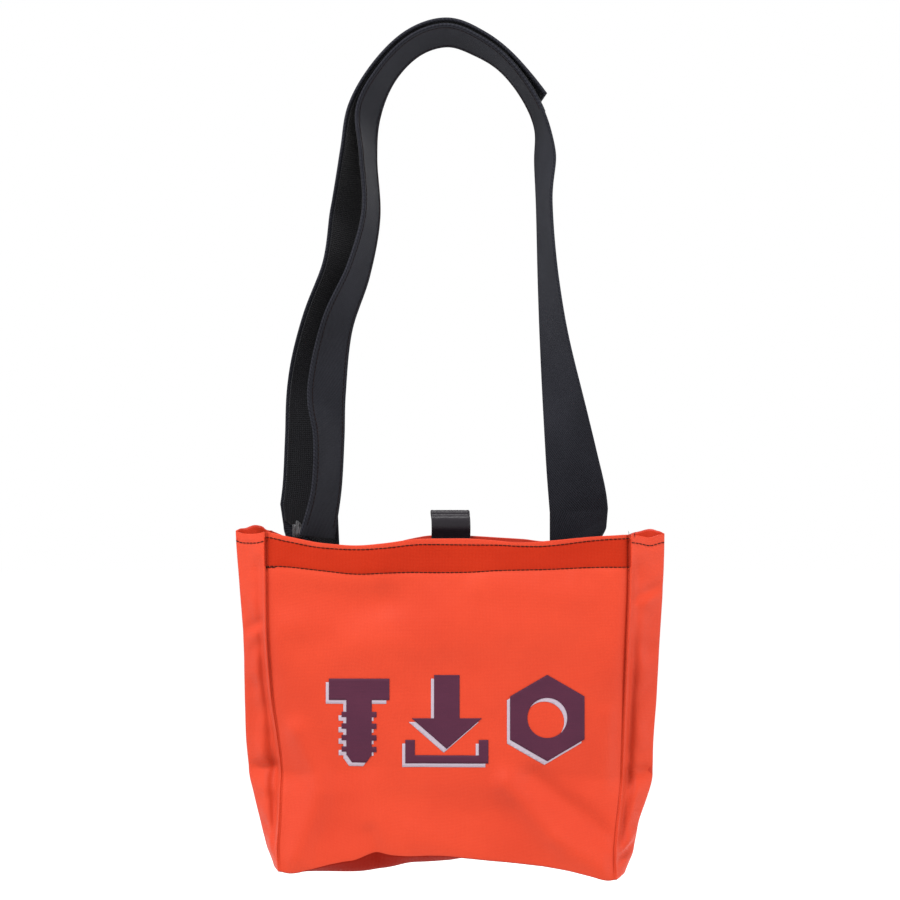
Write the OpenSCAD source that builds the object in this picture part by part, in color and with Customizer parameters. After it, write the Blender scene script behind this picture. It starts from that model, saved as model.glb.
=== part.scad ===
// Waist-belt debris pouch: an open-topped coated-nylon pouch with folding side gussets, a hook-and-loop
// waist belt threaded through a sleeve on its back, and a small hang loop.
// Millimetres. Modelled with the pouch's bottom fold at z = 0 and the wearer's side at +Y, then moved
// so that the origin is the inside of the belt's crown, where the pouch hangs.

/* [Cloth] */
// height of the front panel at its middle
pouch_h = 208; // [150:1:300]
// half width of the front panel at the mouth
mouth_half_w = 115; // [80:1:160]
// half width of the front panel at the bottom fold
base_half_w = 106; // [70:1:150]
// flat width of each side gusset, which is the pouch's full depth
gusset_w = 49; // [30:1:80]
// thickness of a cloth wall
cloth_t = 1.0; // [0.4:0.1:2]
// how far the bottom fold arches up at its middle
base_arch = 6; // [0:0.5:12]
// how far the mouth's edge dips between its corners and its middle
mouth_dip = 3; // [0:0.5:8]

/* [Hems and thread] */
// height of the turned hem on the front and the back
hem_h = 22; // [15:1:40]
// height of the turned hem on the gussets
gusset_hem_h = 6; // [4:1:20]
// distance from the mouth's edge to the upper row of stitches
hem_row_drop = 3.2; // [2:0.2:10]
// thickness of the sewing thread
thread_d = 0.5; // [0.2:0.1:1]

/* [Belt] */
// width of the belt webbing
belt_w = 38; // [25:1:50]
// thickness of the belt webbing
belt_t = 1.8; // [1:0.1:3]
// width of the hook and loop tapes sewn to the belt
tape_w = 34; // [20:1:46]
// thickness of each tape
tape_t = 0.8; // [0.6:0.1:2]
// radius of the soft diagonal fold where the belt turns up
fold_r = 6.5; // [3:0.5:10]
// height of the belt's lower edge on the pouch's back
run_z = 161; // [100:1:180]
// width of the cloth sleeve that holds the belt
sleeve_w = 96; // [60:1:140]
// height at which the belt bends when the pouch swings
swing_z = 220.5; // [215:0.5:230]

/* [Hang loop] */
// width of the hang loop's webbing
loop_w = 24.5; // [15:0.5:40]
// thickness of the hang loop's webbing
loop_t = 1.5; // [1:0.1:3]
// height of the hang loop above its sewn base
loop_h = 15.5; // [10:0.5:40]
// radius of the hang loop's eye
eye_r = 3.2; // [2.2:0.1:8]

/* [Print] */
// height of the three pictograms
print_h = 56; // [20:1:80]
// thickness of the print film
print_t = 0.25; // [0.1:0.05:0.5]
// how far the grey drop shadow is shifted to the left
shadow_left = 1.9; // [0:0.1:5]
// how far the grey drop shadow is shifted down
shadow_down = 2.3; // [0:0.1:5]

/* [View] */

/* [Hidden] */
$fn = 48;

ORANGE = [0.93, 0.27, 0.17];
HEM_ORANGE = [0.80, 0.20, 0.11];
WEBBING = [0.17, 0.17, 0.19];
TAPE = [0.09, 0.09, 0.11];
THREAD = [0.06, 0.05, 0.06];
PLUM = [0.34, 0.17, 0.25];
SHADOW_GREY = [0.80, 0.75, 0.80];
FRAY_GREY = [0.38, 0.36, 0.38];

crown = [0, 12, 528];           // inside of the belt at the top of its loop
back_y = 15;                    // middle of the back panel's wall
half_t = cloth_t / 2;
run_y = back_y + 3;             // middle of the belt where it lies along the back
strand_y = run_y + 2 * fold_r;  // middle of the belt once it has folded up
seat = 0.1;                     // clearance between a tape and the webbing it is sewn to
thread_seat = 0.16;             // clearance between a row of thread and the webbing
layer_gap = belt_t + 2 * tape_t + 0.5;  // between the middles of the belt's two layers
hem_t = 0.9;
hem_y = back_y - half_t - 0.05 - hem_t / 2;
tail_y = hem_y - hem_t / 2 - 0.05 - loop_t;
loop_base_z = pouch_h + 1.5;

// Side view of the pouch: height, how far the front stands from the back, half width of the front.
side_rows = [
    [0, gusset_w, base_half_w],
    [30, 0.80 * gusset_w, base_half_w + 1],
    [58, 0.52 * gusset_w, base_half_w + 2],
    [100, 0.62 * gusset_w, base_half_w + 5],
    [140, 0.69 * gusset_w, mouth_half_w - 1.5],
    [pouch_h + mouth_dip, 0.47 * gusset_w, mouth_half_w]
];
row_count = len(side_rows);

// The belt's loop, from the end of its inner layer at the lower left, over the crown, to the lower
// right. Each row: x and z of the layers' rear edge, then how far the inner layer and the outer layer
// are turned from edge-on, in degrees.
loop_rows = [
    [-73.5, 209, 32, 88],
    [-71, 236, 26, 86],
    [-69, 270, 27, 80],
    [-68, 300, 36, 73],
    [-64, 340, 28, 50],
    [-54.5, 376, 20, 41],
    [-46.5, 414, 15, 47],
    [-48, 452, 12, 28],
    [-46, 478, 16, 21],
    [-37, 502, 13.6, 14.2],
    [-21, 519.5, 11, 10.8],
    [-2, 526, 10, 9.8],
    [16, 520.5, 8, 7.8],
    [33, 510, 5.2, 5.0],
    [47.3, 492, 5.4, 5.6],
    [55, 472, 9.5, 10],
    [56.3, 450, 17, 17],
    [56.8, 420, 11.3, 0],
    [57.9, 370, 16.5, 0],
    [59.5, 320, 30, 0],
    [62.5, 258, 58, 0],
    [65, swing_z + 1.5, 86, 0]
];
LAST_ROW = len(loop_rows) - 1;
RING_STEP = 0.2;
OUTER_START = 0.6;   // where the outer layer leaves the pouch's bend
OUTER_END = 13;
TAB_START = 13.1;    // where the belt's free end can be peeled up
TAB_END = 14.4;      // the belt's free end
LIFT_START = 12.8;   // where the free end begins to stand off the layer under it

// ---------------------------------------------------------------- helpers

// A smooth curve through four neighbouring values, at u from 0 to 1 between b and c.
function smooth(a, b, c, d, u) =
    0.5 * (2 * b + (c - a) * u + (2 * a - 5 * b + 4 * c - d) * u * u
        + (3 * b - a - 3 * c + d) * u * u * u);

function loop_row(i) = loop_rows[max(0, min(LAST_ROW, i))];

// x, z and the two turns at any place t along the belt's loop.
function loop_at(t) =
    let (i = min(floor(t), LAST_ROW - 1), u = t - i)
    smooth(loop_row(i - 1), loop_row(i), loop_row(i + 1), loop_row(i + 2), u);

// Away from the loop's middle, square to its route.
function outward(t) =
    let (a = loop_at(max(0, t - 0.1)), b = loop_at(min(LAST_ROW, t + 0.1)),
         d = [b[0] - a[0], b[1] - a[1]] / norm([b[0] - a[0], b[1] - a[1]]))
    [-d[1], 0, d[0]];

function width_dir(t, turn) = sin(turn) * outward(t) - [0, cos(turn), 0];
function thick_dir(t, turn) = cos(turn) * outward(t) + [0, sin(turn), 0];

function rear_edge(t) =
    let (p = loop_at(t))
    [p[0], strand_y - layer_gap * sin(p[3]), p[1]];

// A point of the inner layer: how far from its rear edge, and how far out of its middle.
function inner_point(t, across, out) =
    let (turn = loop_at(t)[2])
    rear_edge(t) + across * width_dir(t, turn) + out * thick_dir(t, turn);

function tab_lift(t) = t < LIFT_START ? 0 : 4 * pow((t - LIFT_START) / (TAB_END - LIFT_START), 2);

function outer_point(t, across, out) =
    let (turn = loop_at(t)[3])
    rear_edge(t) + across * width_dir(t, turn) + (layer_gap + tab_lift(t) + out) * thick_dir(t, turn);

// Places along the loop that every band shares, so that layers on top of each other never cross.
function steps(from, to) =
    let (first = floor(from / RING_STEP + 0.01) + 1, last = ceil(to / RING_STEP - 0.01) - 1)
    [from, for (i = [first : last]) i * RING_STEP, to];

// A closed band through rings of four corners. Opposite faces are split along matching diagonals, so
// that a thin, twisted band keeps its thickness.
module band(rings) {
    n = len(rings);
    sides = [for (i = [0 : n - 2], k = [0 : 3])
        let (a = 4 * i + k, b = 4 * i + (k + 1) % 4)
        each k < 2 ? [[a, b, b + 4], [a, b + 4, a + 4]] : [[a, b, a + 4], [b, b + 4, a + 4]]];
    caps = [[0, 2, 1], [0, 3, 2], [4 * n - 4, 4 * n - 3, 4 * n - 2], [4 * n - 4, 4 * n - 2, 4 * n - 1]];
    polyhedron(points = [for (r = rings) each r], faces = concat(sides, caps), convexity = 10);
}

module inner_band(from, to, across, out)
    band([for (t = steps(from, to)) [
        inner_point(t, across[0], out[0]), inner_point(t, across[1], out[0]),
        inner_point(t, across[1], out[1]), inner_point(t, across[0], out[1])]]);

module outer_band(from, to, across, out)
    band([for (t = steps(from, to)) [
        outer_point(t, across[0], out[0]), outer_point(t, across[1], out[0]),
        outer_point(t, across[1], out[1]), outer_point(t, across[0], out[1])]]);

// Everything is modelled from the pouch's bottom, then hung from the crown.
module hung() translate(-crown) children();

// Extrudes a side view (y, z) across the pouch, and a front view (x, z) through it.
module across_pouch(w) translate([-w / 2, 0, 0]) rotate([90, 0, 90]) linear_extrude(w) children();
module through_pouch() translate([0, 60, 0]) rotate([90, 0, 0]) linear_extrude(120) children();

function front_y(i) = back_y - side_rows[i][1];  // middle of the front wall
function arch(x) = base_arch * (1 - pow(x / base_half_w, 2));
function mouth_z(x) = let (u = abs(x) / mouth_half_w) pouch_h + mouth_dip * u * u * (11.3 * u - 10.3);

// Front view of the front or back panel, from its bottom fold to its mouth.
module panel_outline(drop) polygon(concat(
    [for (i = [0 : row_count - 1]) [side_rows[i][2], max(side_rows[i][0] - drop, 0)]],
    [for (k = [10 : -1 : -10]) let (x = k * mouth_half_w / 10) [x, mouth_z(x) - drop]],
    [for (i = [row_count - 1 : -1 : 0]) [-side_rows[i][2], max(side_rows[i][0] - drop, 0)]],
    [for (k = [-8 : 8]) let (x = k * base_half_w / 9) [x, arch(x)]]));

// Side view of a sheet that follows the front wall, between two distances out from its middle.
module front_sheet(inner, outer) polygon(concat(
    [for (i = [0 : row_count - 1]) [front_y(i) - inner, side_rows[i][0]]],
    [for (i = [row_count - 1 : -1 : 0]) [front_y(i) - outer, side_rows[i][0]]]));

module on_front(inner, outer) intersection() {
    across_pouch(2 * mouth_half_w) front_sheet(inner, outer);
    through_pouch() children();
}

// A row of thread that follows the mouth's edge at a given drop.
module mouth_row(drop, half_w) polygon(concat(
    [for (k = [-20 : 20]) let (x = k * half_w / 20) [x, mouth_z(x) - drop]],
    [for (k = [20 : -1 : -20]) let (x = k * half_w / 20) [x, mouth_z(x) - drop - thread_d]]));

module mouth_band(top_drop, bottom_drop, half_w) polygon(concat(
    [for (k = [-20 : 20]) let (x = k * half_w / 20) [x, mouth_z(x) - top_drop]],
    [for (k = [20 : -1 : -20]) let (x = k * half_w / 20) [x, mouth_z(x) - bottom_drop]]));

module flat_on_back(y, t) translate([0, y + t, 0]) rotate([90, 0, 0]) linear_extrude(t) children();

// ---------------------------------------------------------------- pouch cloth

module front_panel() color(ORANGE) hung() on_front(-half_t, half_t) panel_outline(0);

module front_hem() color(HEM_ORANGE) hung()
    on_front(-half_t - 0.05 - hem_t, -half_t - 0.05) mouth_band(0.5, hem_h, mouth_half_w - 1.5);

module front_hem_stitching() color(THREAD) hung() on_front(half_t, half_t + thread_d) {
    mouth_row(hem_row_drop, mouth_half_w - 1);
    mouth_row(hem_h - 1.5, mouth_half_w - 2);
}

// The bottom stops short of the sloping front wall, which folds away from it.
bottom_gap = half_t + 0.2 + (base_arch + cloth_t) * (side_rows[0][1] - side_rows[1][1]) / side_rows[1][0];

module bottom_panel() color(ORANGE) hung()
    translate([0, back_y - half_t - 0.2, 0]) rotate([90, 0, 0])
        linear_extrude(gusset_w - half_t - 0.2 - bottom_gap) polygon(concat(
            [for (k = [-9 : 9]) let (x = k * (base_half_w - 1) / 9) [x, arch(x)]],
            [for (k = [9 : -1 : -9]) let (x = k * (base_half_w - 1) / 9) [x, arch(x) + cloth_t]]));

module back_panel() color(ORANGE) hung()
    flat_on_back(back_y - half_t, cloth_t) panel_outline(2);

module back_hem() color(HEM_ORANGE) hung()
    flat_on_back(hem_y - hem_t / 2, hem_t) mouth_band(2.5, hem_h + 2, mouth_half_w - 1.5);

module back_hem_stitching() color(THREAD) hung()
    flat_on_back(back_y + half_t, thread_d) {
        mouth_row(hem_row_drop, mouth_half_w - 1);
        mouth_row(hem_h + 0.5, mouth_half_w - 2);
    }

// One leaf of a gusset, between the seam at its panel and the crease down its middle, where it is
// mitred against the other leaf. side is 1 or -1; front_leaf chooses the panel it is sewn to; inner and
// outer are how far its two faces stand out of the gusset's outer face.
module gusset_leaf(side, front_leaf, heights, inner, outer) {
    function below(z) = max([for (i = [0 : row_count - 2]) if (side_rows[i][0] <= z) i]);
    function row_at(z) = let (a = side_rows[below(z)], b = side_rows[below(z) + 1])
        a + (b - a) * (z - a[0]) / (b[0] - a[0]);
    function seam(r) = [r[2] + cloth_t + 0.1, back_y - 0.2 - (front_leaf ? r[1] - 0.4 : 0)];
    function crease(r) = [r[2] + sqrt(max(pow(gusset_w / 2, 2) - pow(r[1] / 2, 2), 4)),
        back_y - r[1] / 2 + (front_leaf ? -0.15 : 0.15)];
    function along(r) = (crease(r) - seam(r)) / norm(crease(r) - seam(r));
    function seam_corner(r, out) = let (d = along(r))
        seam(r) + out * (front_leaf ? [d[1], -d[0]] : [-d[1], d[0]]);
    function crease_corner(r, out) = crease(r) + [out / abs(along(r)[1]), 0];
    rings = [for (z = heights) let (r = row_at(z))
        [for (p = [seam_corner(r, inner), crease_corner(r, inner),
                crease_corner(r, outer), seam_corner(r, outer)])
            [side * p[0], p[1], z]]];
    band((side > 0) == front_leaf ? rings : [for (r = rings) [r[3], r[2], r[1], r[0]]]);
}

gusset_top = pouch_h + 1.5;
gusset_hem_z = gusset_top - gusset_hem_h;
thread_heights = [gusset_hem_z, gusset_hem_z + thread_d];
leaf_heights = concat([1], [for (i = [1 : row_count - 2]) side_rows[i][0]], thread_heights, [gusset_top]);

module gusset_cloth(side, front_leaf) color(ORANGE) hung()
    gusset_leaf(side, front_leaf, leaf_heights, 0, -cloth_t);

module left_gusset_front_leaf() gusset_cloth(-1, true);
module left_gusset_rear_leaf() gusset_cloth(-1, false);
module right_gusset_front_leaf() gusset_cloth(1, true);
module right_gusset_rear_leaf() gusset_cloth(1, false);

module gusset_thread(side, front_leaf) color(THREAD) hung()
    gusset_leaf(side, front_leaf, thread_heights, 0.05 + thread_d, 0.05);

module left_front_hem_thread() gusset_thread(-1, true);
module left_rear_hem_thread() gusset_thread(-1, false);
module right_front_hem_thread() gusset_thread(1, true);
module right_rear_hem_thread() gusset_thread(1, false);

// The thread that joins a panel to both gussets runs just inside the pouch's corner.
module front_seam_thread() color(THREAD) hung()
    on_front(-half_t - thread_d - 1.2, -half_t - 1.2) intersection() {
        mouth_sides(3);
        translate([-150, 4]) square([300, pouch_h - hem_h - 8]);
    }

module back_seam_thread() color(THREAD) hung()
    flat_on_back(back_y - half_t - 1.2 - thread_d, thread_d) intersection() {
        mouth_sides(3);
        translate([-150, 4]) square([300, pouch_h - hem_h - 10]);
    }

// Front view of the two side seams, a given distance in from the panel's edges.
module mouth_sides(inset) for (side = [-1, 1]) polygon(concat(
    [for (r = side_rows) [side * (r[2] - inset), r[0]]],
    [for (i = [row_count - 1 : -1 : 0]) [side * (side_rows[i][2] - inset - thread_d), side_rows[i][0]]]));

// ---------------------------------------------------------------- belt on the pouch

sleeve_low = run_z - 1.2;
sleeve_high = run_z + belt_w + 1.2;
sleeve_y = run_y + belt_t / 2 + 0.3;
panel_face = back_y + half_t;

// A cloth tunnel: a flat cover with a turned flange above and below the belt.
module belt_sleeve() color(ORANGE) hung() across_pouch(sleeve_w) polygon([
    [panel_face + 0.05, sleeve_low - 7],
    [panel_face + 0.05 + cloth_t, sleeve_low - 7],
    [panel_face + 0.05 + cloth_t, sleeve_low - 1],
    [sleeve_y + cloth_t, sleeve_low - 1],
    [sleeve_y + cloth_t, sleeve_high + 1],
    [panel_face + 0.05, sleeve_high + 1],
    [panel_face + 0.05, sleeve_high],
    [sleeve_y, sleeve_high],
    [sleeve_y, sleeve_low],
    [panel_face + 0.05, sleeve_low]
]);

// Two rows along the lower flange; the upper edge is sewn from inside before the cover is turned down.
module sleeve_stitching() color(THREAD) hung()
    flat_on_back(panel_face + 0.05 + cloth_t, thread_d)
        for (drop = [3, 6]) translate([-sleeve_w / 2 + 2, sleeve_low - drop]) square([sleeve_w - 4, thread_d]);

// How far a strand moves out, and up, as the belt wraps its diagonal fold.
wrap = PI * fold_r / sqrt(2);
right_x = 65;    // inner edge of the right strand
left_x = 71;     // inner edge of the left strand, to the left of the middle

// Four corners of the belt as it wraps the fold, from 0 degrees on the run to 180 on the strand.
function fold_ring(side, inner_x, angle) = [
    for (corner = [[0, -1], [1, -1], [1, 1], [0, 1]])
        let (r = fold_r - corner[1] * belt_t / 2,
             along = fold_r * angle * PI / 180 + corner[0] * belt_w * sqrt(2),
             off = r * sin(angle))
        [side * (inner_x - wrap + (along + off) / sqrt(2)),
         run_y + fold_r - r * cos(angle),
         run_z + (along - off) / sqrt(2)]];

function strand_top(side, inner_x) = [
    for (corner = [[0, 1], [1, 1], [1, -1], [0, -1]])
        [side * (inner_x + corner[0] * belt_w), strand_y + corner[1] * belt_t / 2, swing_z - 1.5]];

module belt_back_run() color(WEBBING) hung() band(concat(
    [strand_top(-1, left_x)],
    [for (a = [180 : -15 : 0]) fold_ring(-1, left_x, a)],
    [for (a = [0 : 15 : 180]) fold_ring(1, right_x, a)],
    [strand_top(1, right_x)]));

// ---------------------------------------------------------------- belt loop

module belt_inner_layer() color(WEBBING) hung()
    inner_band(0, LAST_ROW, [0, belt_w], [-belt_t / 2, belt_t / 2]);

module belt_outer_layer() color(WEBBING) hung()
    outer_band(OUTER_START, OUTER_END, [0, belt_w], [-belt_t / 2, belt_t / 2]);

module belt_end_tab() color(WEBBING) hung()
    outer_band(TAB_START, TAB_END, [0, belt_w], [-belt_t / 2, belt_t / 2]);

tape_edge = (belt_w - tape_w) / 2;

tape_low = belt_t / 2 + seat;
thread_low = belt_t / 2 + thread_seat;

module hook_tape() color(TAPE) hung()
    outer_band(1, OUTER_END, [tape_edge, belt_w - tape_edge], [-tape_low - tape_t, -tape_low]);

module loop_tape() color(TAPE) hung()
    inner_band(RING_STEP, TAB_END + 0.4, [tape_edge, belt_w - tape_edge], [tape_low, tape_low + tape_t]);

module hook_tape_stitching() color(THREAD) hung()
    for (a = [tape_edge + 1.5, belt_w - tape_edge - 2])
        outer_band(1, OUTER_END, [a, a + thread_d], [thread_low, thread_low + 0.3]);

module loop_tape_stitching() color(THREAD) hung()
    for (a = [tape_edge + 1.5, belt_w - tape_edge - 2])
        inner_band(2 * RING_STEP, TAB_END + 0.2, [a, a + thread_d], [-thread_low - 0.3, -thread_low]);

// ---------------------------------------------------------------- hang loop

// Side view of the loop: two sewn plies that open round an eye, pinched where they bend.
module loop_side() difference() {
    hull() {
        translate([0, loop_h - eye_r - loop_t]) circle(eye_r + loop_t);
        translate([-0.5, 0]) square([1, 0.5]);
    }
    hull() {
        translate([0, loop_h - eye_r - loop_t]) circle(eye_r);
        translate([0, 3]) circle(0.4);
    }
}

module hang_loop() color(WEBBING) hung()
    translate([0, tail_y, loop_base_z]) across_pouch(loop_w) loop_side();

module hang_loop_tail() color(WEBBING) hung()
    translate([-loop_w / 2, tail_y - loop_t, loop_base_z - 23])
        cube([loop_w, 2 * loop_t, 22.3]);

// A box of stitches through the sewn tail.
module hang_loop_tack() color(THREAD) hung()
    flat_on_back(tail_y - loop_t - 0.35, 0.35) translate([0, loop_base_z - 14]) difference() {
        square([loop_w - 5, 12], center = true);
        square([loop_w - 5 - 2 * thread_d, 12 - 2 * thread_d], center = true);
    }

// ---------------------------------------------------------------- print

module bolt_sign() {
    translate([-19, 0.70 * print_h]) square([38, 0.24 * print_h]);
    translate([-8, 0.08 * print_h]) square([16, 0.62 * print_h]);
    for (z = [0.12 : 0.13 : 0.6]) translate([-11, z * print_h]) square([22, 0.06 * print_h]);
    polygon([[-8, 0.09 * print_h], [8, 0.09 * print_h], [4.5, 0], [-4.5, 0]]);
}

module arrow_sign() {
    translate([-8, 0.42 * print_h]) square([16, 0.56 * print_h]);
    polygon([[-22, 0.5 * print_h], [22, 0.5 * print_h], [0, 0.16 * print_h]]);
    translate([-26, 0]) square([52, 0.09 * print_h]);
    for (x = [-26, 20]) translate([x, 0]) square([6, 0.26 * print_h]);
}

module nut_sign() translate([0, print_h / 2]) difference() {
    rotate(30) circle(r = 27, $fn = 6);
    circle(12.5);
}

SIGN_X = [-57, -2, 61];
SIGN_Z = 67;

module place_sign(i) translate([SIGN_X[i], SIGN_Z]) {
    if (i == 0) bolt_sign();
    if (i == 1) arrow_sign();
    if (i == 2) nut_sign();
}

module print_film(i) color(PLUM) hung()
    on_front(half_t + 0.2, half_t + 0.2 + print_t) place_sign(i);

module print_bolt() print_film(0);
module print_arrow() print_film(1);
module print_nut() print_film(2);

module print_shadow() color(SHADOW_GREY) hung()
    on_front(half_t + 0.02, half_t + 0.15) translate([-shadow_left, -shadow_down]) for (i = [0 : 2]) place_sign(i);

// ---------------------------------------------------------------- loose ends

module frayed_thread_tuft() color(FRAY_GREY) hung()
    for (i = [-2 : 2]) translate([-100 + 1.1 * i, strand_y - belt_t / 2 - 1.9, 207])
        rotate([0, 5 * i, 0]) cylinder(h = 11 - abs(i), r1 = 0.5, r2 = 0.3);

module corner_loose_threads() color(THREAD) hung()
    for (i = [0, 1]) translate([mouth_half_w - 2 - 3 * i, front_y(row_count - 1) - 1.3, pouch_h + 1])
        rotate([0, 12 - 30 * i, 0]) cylinder(h = 6, d = thread_d, $fn = 16);

// ---------------------------------------------------------------- what is drawn

front_panel();
front_hem();
front_hem_stitching();
bottom_panel();
back_panel();
back_hem();
back_hem_stitching();
left_gusset_front_leaf();
left_gusset_rear_leaf();
right_gusset_front_leaf();
right_gusset_rear_leaf();
left_front_hem_thread();
left_rear_hem_thread();
right_front_hem_thread();
right_rear_hem_thread();
front_seam_thread();
back_seam_thread();
belt_sleeve();
sleeve_stitching();
belt_back_run();
belt_inner_layer();
belt_outer_layer();
belt_end_tab();
hook_tape();
loop_tape();
hook_tape_stitching();
loop_tape_stitching();
hang_loop();
hang_loop_tail();
hang_loop_tack();
print_bolt();
print_arrow();
print_nut();
print_shadow();
frayed_thread_tuft();
corner_loose_threads();
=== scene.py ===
"""Waist-belt debris pouch: coated-nylon pouch, hook-and-loop webbing belt and hang loop."""
import math
import random

import bpy
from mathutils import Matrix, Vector, geometry, noise
from mathutils.bvhtree import BVHTree


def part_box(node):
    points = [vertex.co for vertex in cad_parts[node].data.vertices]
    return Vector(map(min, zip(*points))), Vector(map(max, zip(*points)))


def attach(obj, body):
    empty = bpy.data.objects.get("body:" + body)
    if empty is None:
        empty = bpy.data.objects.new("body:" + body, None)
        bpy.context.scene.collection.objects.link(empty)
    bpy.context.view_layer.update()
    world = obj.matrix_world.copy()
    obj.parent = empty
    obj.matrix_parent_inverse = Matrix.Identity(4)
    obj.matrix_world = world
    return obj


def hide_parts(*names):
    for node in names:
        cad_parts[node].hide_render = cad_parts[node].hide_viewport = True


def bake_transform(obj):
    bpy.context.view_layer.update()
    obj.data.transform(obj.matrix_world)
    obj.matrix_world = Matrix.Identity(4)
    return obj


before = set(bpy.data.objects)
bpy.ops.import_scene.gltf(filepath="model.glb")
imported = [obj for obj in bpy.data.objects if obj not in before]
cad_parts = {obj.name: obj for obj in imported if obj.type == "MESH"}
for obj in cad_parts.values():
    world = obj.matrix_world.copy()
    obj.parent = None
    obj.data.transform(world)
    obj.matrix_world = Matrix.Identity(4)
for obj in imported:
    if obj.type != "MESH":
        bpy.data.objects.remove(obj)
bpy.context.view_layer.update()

# ---- the pouch's own space
# Millimetres: x to the right, d forward from the middle of the back wall, z up from the bottom fold.

MM = 0.001
back_low, back_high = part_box("back_panel")
BASE_Z = back_low[2]
BACK_Y = (back_low[1] + back_high[1]) / 2


def place(x, d, z):
    """A point of the pouch's space, in the row frame."""
    return Vector((x * MM, BACK_Y - d * MM, BASE_Z + z * MM))


BELT_W = 38
BELT_T = 1.8
TAPE_W = 34
TAPE_T = 0.8
FOLD_R = 6.5
RUN_D = -3                      # middle of the belt where it lies along the back
RUN_Z = 161                     # lower edge of the belt there
STRAND_D = RUN_D - 2 * FOLD_R   # middle of the belt once it has folded up
LAYER_GAP = BELT_T + 2 * TAPE_T + 0.5       # between the middles of the belt's two layers


# ---- small helpers

def lerp(a, b, t):
    return a + (b - a) * t


def ease(t):
    """Smoothly from 0 to 1 as t goes from 0 to 1."""
    t = min(max(t, 0.0), 1.0)
    return t * t * (3 - 2 * t)


def bell(gap, reach):
    """A soft bump: 1 where gap is 0, and next to nothing beyond twice the reach."""
    return math.exp(-(gap / reach) ** 2)


def smooth(a, b, c, d, u):
    """A smooth curve through four neighbouring values, between b and c."""
    return 0.5 * (2 * b + (c - a) * u + (2 * a - 5 * b + 4 * c - d) * u * u
                  + (3 * b - a - 3 * c + d) * u ** 3)


def curve_at(rows, key):
    """Smooth values between rows whose first entry is the key."""
    key = min(max(key, rows[0][0]), rows[-1][0])
    i = 0
    while i < len(rows) - 2 and key > rows[i + 1][0]:
        i += 1
    near = [rows[min(max(k, 0), len(rows) - 1)] for k in (i - 1, i, i + 1, i + 2)]
    u = (key - rows[i][0]) / (rows[i + 1][0] - rows[i][0])
    return [smooth(*values, u) for values in zip(*(row[1:] for row in near))]


def numbered(rows):
    """Rows for curve_at whose key is their own place in the list."""
    return [(i, *row) for i, row in enumerate(rows)]


def spans(*stops):
    """Values from stop to stop; each stop is (value, number of cells up to the next one)."""
    values = []
    for (low, cells), (high, _) in zip(stops, stops[1:]):
        values += [lerp(low, high, i / cells) for i in range(cells)]
    return values + [stops[-1][0]]


def wobble(x, y, z, scale, seed=0.0):
    """Smooth noise from -1 to 1."""
    return noise.noise(Vector((x / scale + seed, y / scale, z / scale)))


def make_object(name, points, faces, material, uvs):
    """A smooth mesh from points in the row frame; uvs has one for each corner of each face, or none."""
    mesh = bpy.data.meshes.new(name)
    mesh.from_pydata([tuple(p) for p in points], [], faces)
    mesh.update()
    mesh.polygons.foreach_set("use_smooth", [True] * len(mesh.polygons))
    if uvs:
        layer = mesh.uv_layers.new(name="UVMap")
        layer.data.foreach_set("uv", [value for uv in uvs for value in uv])
    mesh.materials.append(material)
    return add_object(name, mesh)


def add_object(name, data):
    obj = bpy.data.objects.new(name, data)
    bpy.context.scene.collection.objects.link(obj)
    return obj


def refine(obj):
    """One round of subdivision, baked by give_wall."""
    obj.modifiers.new("finer", "SUBSURF").levels = 1


def give_wall(obj, thickness, offset, **more):
    """Bakes a sheet with its modifiers and a wall, inwards from its face or (offset 0) to both sides."""
    wall = obj.modifiers.new("wall", "SOLIDIFY")
    for key, value in dict(more, thickness=thickness * MM, offset=offset).items():
        setattr(wall, key, value)
    graph = bpy.context.evaluated_depsgraph_get()
    baked = bpy.data.meshes.new_from_object(obj.evaluated_get(graph))
    obj.modifiers.clear()
    obj.data = baked


# ---- camera and light

def add_camera():
    """Level with the middle of the part, straight in front, as in a catalogue shot."""
    view_width = 0.5616         # across the plane of the pouch's front
    distance = 1.25             # to that plane
    front_d = 40
    eye_z = 263
    data = bpy.data.cameras.new("camera")
    data.lens = data.sensor_width * distance / view_width
    camera = add_object("camera", data)
    camera.location = place(0, front_d, eye_z) - Vector((0, distance, 0))
    camera.rotation_euler = (math.radians(90), 0, 0)
    bpy.context.scene.camera = camera


def add_area(name, size, energy, x, y, up):
    """A round light that points at the pouch's mouth."""
    data = bpy.data.lights.new(name, "AREA")
    data.shape = "DISK"
    data.size = size
    data.energy = energy
    light = add_object(name, data)
    light.location = (x, y, BASE_Z + up)
    towards = Vector((0, 0, BASE_Z + 0.2)) - light.location
    light.rotation_euler = towards.to_track_quat("-Z", "Y").to_euler()


def add_studio():
    scene = bpy.context.scene
    scene.view_settings.view_transform = "Standard"
    world = bpy.data.worlds.new("studio")
    world.use_nodes = True
    world.node_tree.nodes["Background"].inputs["Color"].default_value = (1, 1, 1, 1)
    scene.world = world
    add_area("key", 0.40, 25, -0.30, -0.55, 1.35)
    add_area("rim", 0.8, 10, 0.5, 1.2, 1.0)
    add_area("left_fill", 0.7, 8, -1.35, -0.45, 0.35)
    add_area("right_fill", 0.7, 12, 1.35, -0.45, 0.35)
    half = 8.0
    floor_z = BASE_Z - 0.30
    points = [(x * half, y * half, floor_z) for x, y in ((-1, -1), (1, -1), (1, 1), (-1, 1))]
    floor = make_object("floor", points, [(0, 1, 2, 3)], floor_material(), [])


# ---- material helpers

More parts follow.
